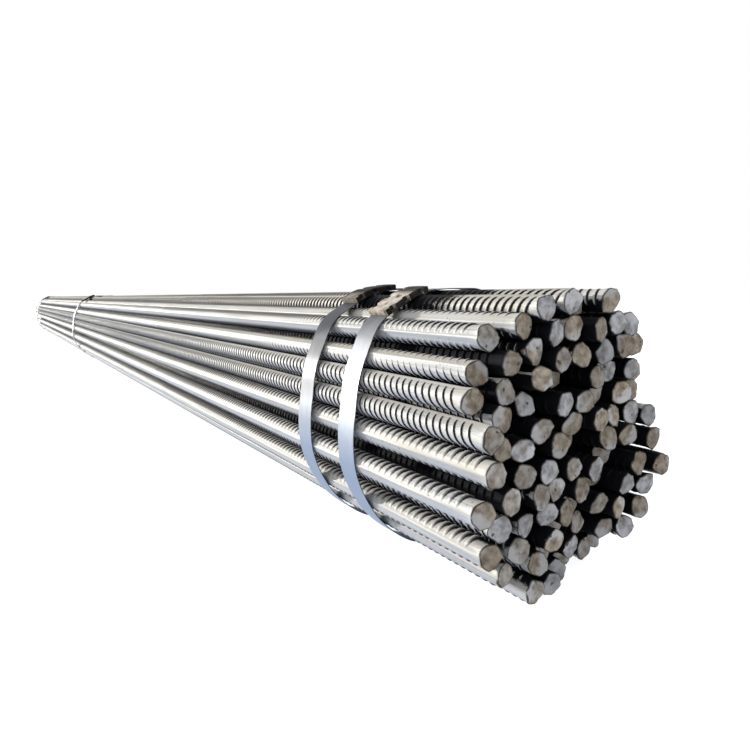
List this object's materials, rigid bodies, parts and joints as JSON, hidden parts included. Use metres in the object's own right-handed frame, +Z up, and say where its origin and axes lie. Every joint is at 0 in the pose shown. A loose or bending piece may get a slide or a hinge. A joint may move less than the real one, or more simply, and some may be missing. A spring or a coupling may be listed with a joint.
{
  "type": "rebar bundle",
  "caption": "Round bundle of straight ribbed steel reinforcing bars of one stock length, held by flat steel straps with crimped seals.",
  "frame": {"origin": "middle of the bundle's footprint, on the floor it rests on", "axes": "+X along the bars towards the end with the pair of straps, +Z up"},
  "size_m": [6.068, 0.3069, 0.3157],
  "materials": {
    "bar": "hot-rolled ribbed steel with mill scale and light rust on the cut ends",
    "strap": "bright galvanised steel strapping",
    "strap_seal": "crimped steel seal, lightly rusted"
  },
  "bodies": {
    "root": {"bar_layer_01": "bar", "bar_layer_02": "bar", "bar_layer_03": "bar", "bar_layer_04": "bar", "bar_layer_05": "bar", "bar_layer_06": "bar", "bar_layer_07": "bar", "bar_layer_08": "bar", "bar_layer_09": "bar", "bar_layer_10": "bar", "bar_layer_11": "bar", "bar_layer_12": "bar", "bar_layer_13": "bar", "strap_front": "strap", "strap_middle": "strap", "strap_rear": "strap", "strap_seal_front": "strap_seal", "strap_seal_middle": "strap_seal", "strap_seal_rear": "strap_seal", "strap_seal_second": "strap_seal", "strap_second": "strap"}
  },
  "joints": []
}
